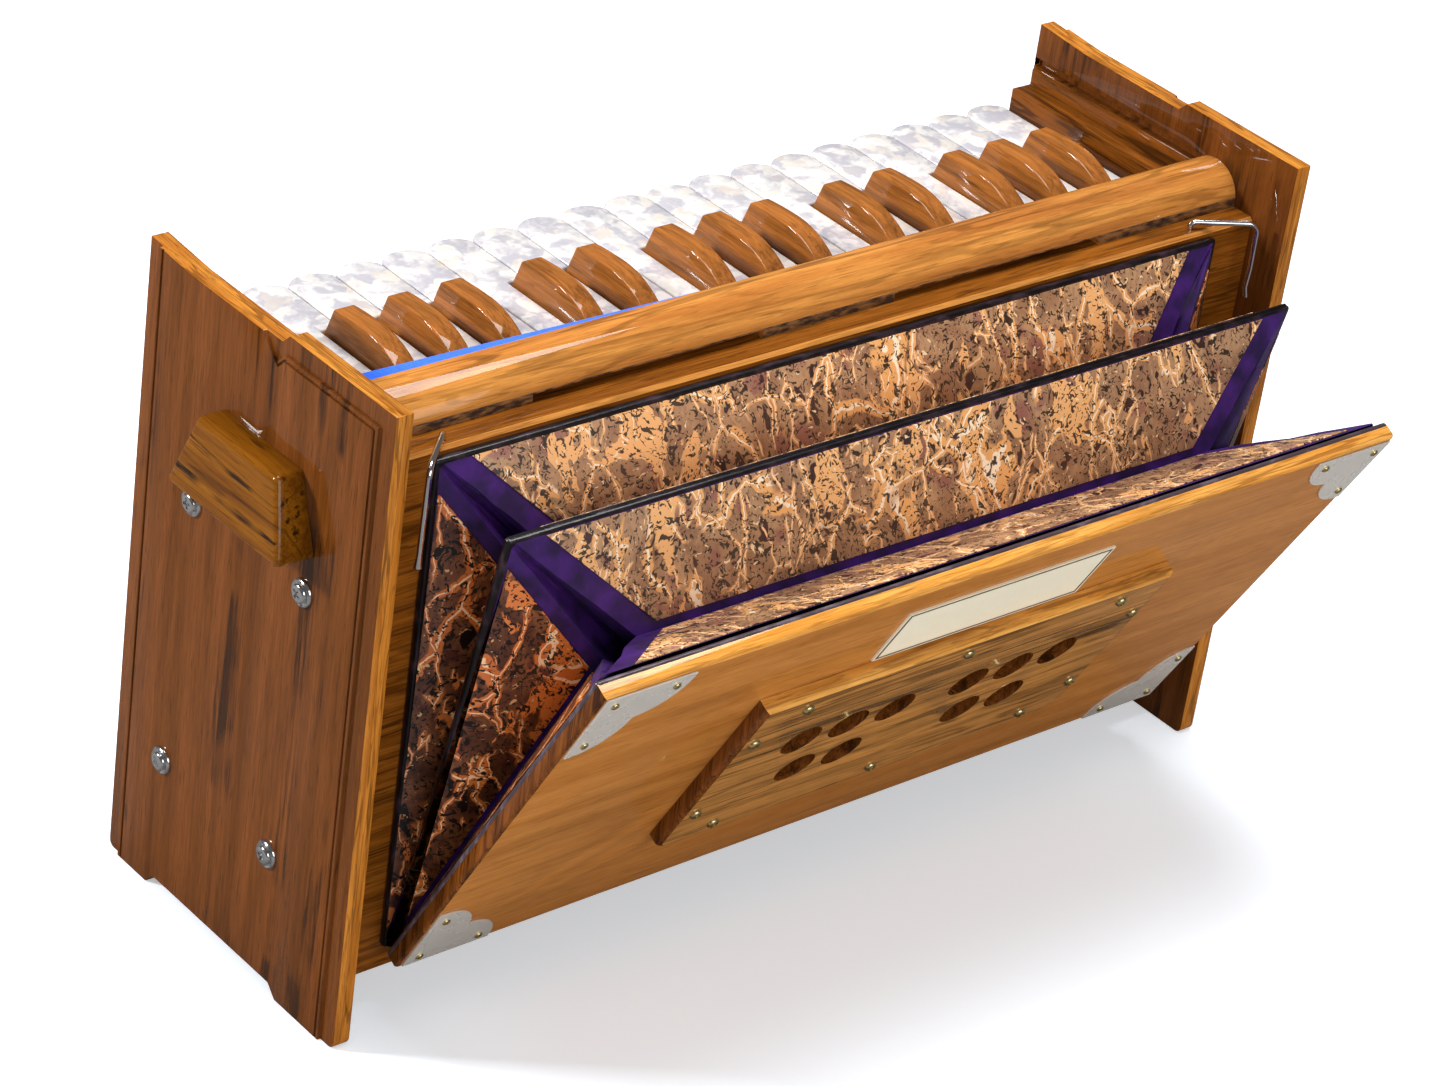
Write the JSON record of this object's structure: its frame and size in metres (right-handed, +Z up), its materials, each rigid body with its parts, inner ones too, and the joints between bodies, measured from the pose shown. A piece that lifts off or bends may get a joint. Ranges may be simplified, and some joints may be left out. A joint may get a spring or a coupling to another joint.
{
  "type": "portable harmonium",
  "caption": "Hand-pumped portable reed organ in a lacquered wooden case, with folding bellows and a bellows board on one side and a keyboard on the other.",
  "frame": {"origin": "on the floor, under the middle of the instrument's box with the bellows open", "axes": "+X to the player's left along the keyboard, +Y towards the player, +Z up"},
  "size_m": [0.4882, 0.2518, 0.272],
  "materials": {
    "case_wood": "dark teak under glossy lacquer, vertical grain",
    "plain_wood": "unfinished light wood",
    "rail_wood": "amber wood under glossy lacquer, grain along its length",
    "handle_wood": "figured brown wood under glossy lacquer",
    "board_wood": "amber-brown teak under glossy lacquer, grain along its length",
    "card_frame": "thin wooden frame bound in dark glossy cloth",
    "bellows_cloth": "brown and cream marbled paper over card ribs, violet cloth at the gussets",
    "blue_felt": "bright blue felt",
    "white_key": "pearly white caps on wooden levers",
    "sharp_key": "lacquered brown teak caps on wooden levers",
    "bright_steel": "bright plated steel",
    "nickel": "light satin plated sheet",
    "brass": "bright brass",
    "leather": "soft tan leather",
    "label": "ivory plate with a thin dark border"
  },
  "bodies": {
    "case": {"side_board_left": "case_wood", "side_board_right": "case_wood", "case_screws": "bright_steel", "handle_left": "handle_wood", "handle_right": "handle_wood", "base_board": "plain_wood", "front_panel": "case_wood", "rear_panel": "case_wood", "wind_flap": "leather", "ledge": "rail_wood", "top_rail": "rail_wood", "felt_strip": "blue_felt", "key_cheeks": "rail_wood", "key_rod": "bright_steel", "reed_board": "plain_wood", "reeds": "brass", "back_frame": "card_frame", "inner_fold": "bellows_cloth"},
    "fold_frame": {"fold_frame": "card_frame", "outer_fold": "bellows_cloth"},
    "bellows_board": {"bellows_board": "board_wood", "hole_cover": "handle_wood", "intake_flap": "leather", "label_plate": "label", "corner_plates": "nickel", "board_screws": "brass"},
    "catch_left": {"catch_left": "bright_steel"},
    "catch_right": {"catch_right": "bright_steel"},
    "white_key_01": {"white_key_01": "white_key"},
    "white_key_02": {"white_key_02": "white_key"},
    "white_key_03": {"white_key_03": "white_key"},
    "white_key_04": {"white_key_04": "white_key"},
    "white_key_05": {"white_key_05": "white_key"},
    "white_key_06": {"white_key_06": "white_key"},
    "white_key_07": {"white_key_07": "white_key"},
    "white_key_08": {"white_key_08": "white_key"},
    "white_key_09": {"white_key_09": "white_key"},
    "white_key_10": {"white_key_10": "white_key"},
    "white_key_11": {"white_key_11": "white_key"},
    "white_key_12": {"white_key_12": "white_key"},
    "white_key_13": {"white_key_13": "white_key"},
    "white_key_14": {"white_key_14": "white_key"},
    "white_key_15": {"white_key_15": "white_key"},
    "white_key_16": {"white_key_16": "white_key"},
    "white_key_17": {"white_key_17": "white_key"},
    "white_key_18": {"white_key_18": "white_key"},
    "white_key_19": {"white_key_19": "white_key"},
    "sharp_key_01": {"sharp_key_01": "sharp_key"},
    "sharp_key_02": {"sharp_key_02": "sharp_key"},
    "sharp_key_03": {"sharp_key_03": "sharp_key"},
    "sharp_key_04": {"sharp_key_04": "sharp_key"},
    "sharp_key_05": {"sharp_key_05": "sharp_key"},
    "sharp_key_06": {"sharp_key_06": "sharp_key"},
    "sharp_key_07": {"sharp_key_07": "sharp_key"},
    "sharp_key_08": {"sharp_key_08": "sharp_key"},
    "sharp_key_09": {"sharp_key_09": "sharp_key"},
    "sharp_key_10": {"sharp_key_10": "sharp_key"},
    "sharp_key_11": {"sharp_key_11": "sharp_key"},
    "sharp_key_12": {"sharp_key_12": "sharp_key"},
    "sharp_key_13": {"sharp_key_13": "sharp_key"}
  },
  "joints": [
    {"name": "bellows_fold", "type": "hinge", "parent": "case", "child": "fold_frame", "pos_m": [0, -0.0237, 0.0325], "axis": [1, 0, 0], "range_deg": [-11.2, 0], "stiffness_Nm_per_rad": 0.3, "springref_deg": 5.73, "deforming": ["inner_fold"]},
    {"name": "bellows_swing", "type": "hinge", "parent": "fold_frame", "child": "bellows_board", "pos_m": [0, -0.0237, 0.0325], "axis": [1, 0, 0], "range_deg": [-17.4, 0], "deforming": ["outer_fold"]},
    {"name": "catch_left_swing", "type": "hinge", "parent": "case", "child": "catch_left", "pos_m": [0.187, -0.0107, 0.2447], "axis": [0, 0, 1], "range_deg": [-61, 15]},
    {"name": "catch_right_swing", "type": "hinge", "parent": "case", "child": "catch_right", "pos_m": [-0.187, -0.0107, 0.2447], "axis": [0, 0, 1], "range_deg": [-28, 48]},
    {"name": "white_key_01_press", "type": "hinge", "parent": "case", "child": "white_key_01", "pos_m": [0.1953, 0.0333, 0.2258], "axis": [-1, 0, 0], "range_deg": [0, 3.4], "stiffness_Nm_per_rad": 0.3, "springref_deg": -5.73},
    {"name": "white_key_02_press", "type": "hinge", "parent": "case", "child": "white_key_02", "pos_m": [0.1736, 0.0333, 0.2258], "axis": [-1, 0, 0], "range_deg": [0, 3.4], "stiffness_Nm_per_rad": 0.3, "springref_deg": -5.73},
    {"name": "white_key_03_press", "type": "hinge", "parent": "case", "child": "white_key_03", "pos_m": [0.1519, 0.0333, 0.2258], "axis": [-1, 0, 0], "range_deg": [0, 3.4], "stiffness_Nm_per_rad": 0.3, "springref_deg": -5.73},
    {"name": "white_key_04_press", "type": "hinge", "parent": "case", "child": "white_key_04", "pos_m": [0.1302, 0.0333, 0.2258], "axis": [-1, 0, 0], "range_deg": [0, 3.4], "stiffness_Nm_per_rad": 0.3, "springref_deg": -5.73},
    {"name": "white_key_05_press", "type": "hinge", "parent": "case", "child": "white_key_05", "pos_m": [0.1085, 0.0333, 0.2258], "axis": [-1, 0, 0], "range_deg": [0, 3.4], "stiffness_Nm_per_rad": 0.3, "springref_deg": -5.73},
    {"name": "white_key_06_press", "type": "hinge", "parent": "case", "child": "white_key_06", "pos_m": [0.0868, 0.0333, 0.2258], "axis": [-1, 0, 0], "range_deg": [0, 3.4], "stiffness_Nm_per_rad": 0.3, "springref_deg": -5.73},
    {"name": "white_key_07_press", "type": "hinge", "parent": "case", "child": "white_key_07", "pos_m": [0.0651, 0.0333, 0.2258], "axis": [-1, 0, 0], "range_deg": [0, 3.4], "stiffness_Nm_per_rad": 0.3, "springref_deg": -5.73},
    {"name": "white_key_08_press", "type": "hinge", "parent": "case", "child": "white_key_08", "pos_m": [0.0434, 0.0333, 0.2258], "axis": [-1, 0, 0], "range_deg": [0, 3.4], "stiffness_Nm_per_rad": 0.3, "springref_deg": -5.73},
    {"name": "white_key_09_press", "type": "hinge", "parent": "case", "child": "white_key_09", "pos_m": [0.0217, 0.0333, 0.2258], "axis": [-1, 0, 0], "range_deg": [0, 3.4], "stiffness_Nm_per_rad": 0.3, "springref_deg": -5.73},
    {"name": "white_key_10_press", "type": "hinge", "parent": "case", "child": "white_key_10", "pos_m": [0, 0.0333, 0.2258], "axis": [-1, 0, 0], "range_deg": [0, 3.4], "stiffness_Nm_per_rad": 0.3, "springref_deg": -5.73},
    {"name": "white_key_11_press", "type": "hinge", "parent": "case", "child": "white_key_11", "pos_m": [-0.0217, 0.0333, 0.2258], "axis": [-1, 0, 0], "range_deg": [0, 3.4], "stiffness_Nm_per_rad": 0.3, "springref_deg": -5.73},
    {"name": "white_key_12_press", "type": "hinge", "parent": "case", "child": "white_key_12", "pos_m": [-0.0434, 0.0333, 0.2258], "axis": [-1, 0, 0], "range_deg": [0, 3.4], "stiffness_Nm_per_rad": 0.3, "springref_deg": -5.73},
    {"name": "white_key_13_press", "type": "hinge", "parent": "case", "child": "white_key_13", "pos_m": [-0.0651, 0.0333, 0.2258], "axis": [-1, 0, 0], "range_deg": [0, 3.4], "stiffness_Nm_per_rad": 0.3, "springref_deg": -5.73},
    {"name": "white_key_14_press", "type": "hinge", "parent": "case", "child": "white_key_14", "pos_m": [-0.0868, 0.0333, 0.2258], "axis": [-1, 0, 0], "range_deg": [0, 3.4], "stiffness_Nm_per_rad": 0.3, "springref_deg": -5.73},
    {"name": "white_key_15_press", "type": "hinge", "parent": "case", "child": "white_key_15", "pos_m": [-0.1085, 0.0333, 0.2258], "axis": [-1, 0, 0], "range_deg": [0, 3.4], "stiffness_Nm_per_rad": 0.3, "springref_deg": -5.73},
    {"name": "white_key_16_press", "type": "hinge", "parent": "case", "child": "white_key_16", "pos_m": [-0.1302, 0.0333, 0.2258], "axis": [-1, 0, 0], "range_deg": [0, 3.4], "stiffness_Nm_per_rad": 0.3, "springref_deg": -5.73},
    {"name": "white_key_17_press", "type": "hinge", "parent": "case", "child": "white_key_17", "pos_m": [-0.1519, 0.0333, 0.2258], "axis": [-1, 0, 0], "range_deg": [0, 3.4], "stiffness_Nm_per_rad": 0.3, "springref_deg": -5.73},
    {"name": "white_key_18_press", "type": "hinge", "parent": "case", "child": "white_key_18", "pos_m": [-0.1736, 0.0333, 0.2258], "axis": [-1, 0, 0], "range_deg": [0, 3.4], "stiffness_Nm_per_rad": 0.3, "springref_deg": -5.73},
    {"name": "white_key_19_press", "type": "hinge", "parent": "case", "child": "white_key_19", "pos_m": [-0.1953, 0.0333, 0.2258], "axis": [-1, 0, 0], "range_deg": [0, 3.4], "stiffness_Nm_per_rad": 0.3, "springref_deg": -5.73},
    {"name": "sharp_key_01_press", "type": "hinge", "parent": "case", "child": "sharp_key_01", "pos_m": [0.18725, 0.0333, 0.2258], "axis": [-1, 0, 0], "range_deg": [0, 3.4], "stiffness_Nm_per_rad": 0.3, "springref_deg": -5.73},
    {"name": "sharp_key_02_press", "type": "hinge", "parent": "case", "child": "sharp_key_02", "pos_m": [0.16275, 0.0333, 0.2258], "axis": [-1, 0, 0], "range_deg": [0, 3.4], "stiffness_Nm_per_rad": 0.3, "springref_deg": -5.73},
    {"name": "sharp_key_03_press", "type": "hinge", "parent": "case", "child": "sharp_key_03", "pos_m": [0.13825, 0.0333, 0.2258], "axis": [-1, 0, 0], "range_deg": [0, 3.4], "stiffness_Nm_per_rad": 0.3, "springref_deg": -5.73},
    {"name": "sharp_key_04_press", "type": "hinge", "parent": "case", "child": "sharp_key_04", "pos_m": [0.09995, 0.0333, 0.2258], "axis": [-1, 0, 0], "range_deg": [0, 3.4], "stiffness_Nm_per_rad": 0.3, "springref_deg": -5.73},
    {"name": "sharp_key_05_press", "type": "hinge", "parent": "case", "child": "sharp_key_05", "pos_m": [0.07365, 0.0333, 0.2258], "axis": [-1, 0, 0], "range_deg": [0, 3.4], "stiffness_Nm_per_rad": 0.3, "springref_deg": -5.73},
    {"name": "sharp_key_06_press", "type": "hinge", "parent": "case", "child": "sharp_key_06", "pos_m": [0.03535, 0.0333, 0.2258], "axis": [-1, 0, 0], "range_deg": [0, 3.4], "stiffness_Nm_per_rad": 0.3, "springref_deg": -5.73},
    {"name": "sharp_key_07_press", "type": "hinge", "parent": "case", "child": "sharp_key_07", "pos_m": [0.01085, 0.0333, 0.2258], "axis": [-1, 0, 0], "range_deg": [0, 3.4], "stiffness_Nm_per_rad": 0.3, "springref_deg": -5.73},
    {"name": "sharp_key_08_press", "type": "hinge", "parent": "case", "child": "sharp_key_08", "pos_m": [-0.01365, 0.0333, 0.2258], "axis": [-1, 0, 0], "range_deg": [0, 3.4], "stiffness_Nm_per_rad": 0.3, "springref_deg": -5.73},
    {"name": "sharp_key_09_press", "type": "hinge", "parent": "case", "child": "sharp_key_09", "pos_m": [-0.05195, 0.0333, 0.2258], "axis": [-1, 0, 0], "range_deg": [0, 3.4], "stiffness_Nm_per_rad": 0.3, "springref_deg": -5.73},
    {"name": "sharp_key_10_press", "type": "hinge", "parent": "case", "child": "sharp_key_10", "pos_m": [-0.07825, 0.0333, 0.2258], "axis": [-1, 0, 0], "range_deg": [0, 3.4], "stiffness_Nm_per_rad": 0.3, "springref_deg": -5.73},
    {"name": "sharp_key_11_press", "type": "hinge", "parent": "case", "child": "sharp_key_11", "pos_m": [-0.11655, 0.0333, 0.2258], "axis": [-1, 0, 0], "range_deg": [0, 3.4], "stiffness_Nm_per_rad": 0.3, "springref_deg": -5.73},
    {"name": "sharp_key_12_press", "type": "hinge", "parent": "case", "child": "sharp_key_12", "pos_m": [-0.14105, 0.0333, 0.2258], "axis": [-1, 0, 0], "range_deg": [0, 3.4], "stiffness_Nm_per_rad": 0.3, "springref_deg": -5.73},
    {"name": "sharp_key_13_press", "type": "hinge", "parent": "case", "child": "sharp_key_13", "pos_m": [-0.16555, 0.0333, 0.2258], "axis": [-1, 0, 0], "range_deg": [0, 3.4], "stiffness_Nm_per_rad": 0.3, "springref_deg": -5.73}
  ],
  "couplings": [
    {"joint": "bellows_swing", "follows": "bellows_fold", "ratio": 1.5535}
  ]
}
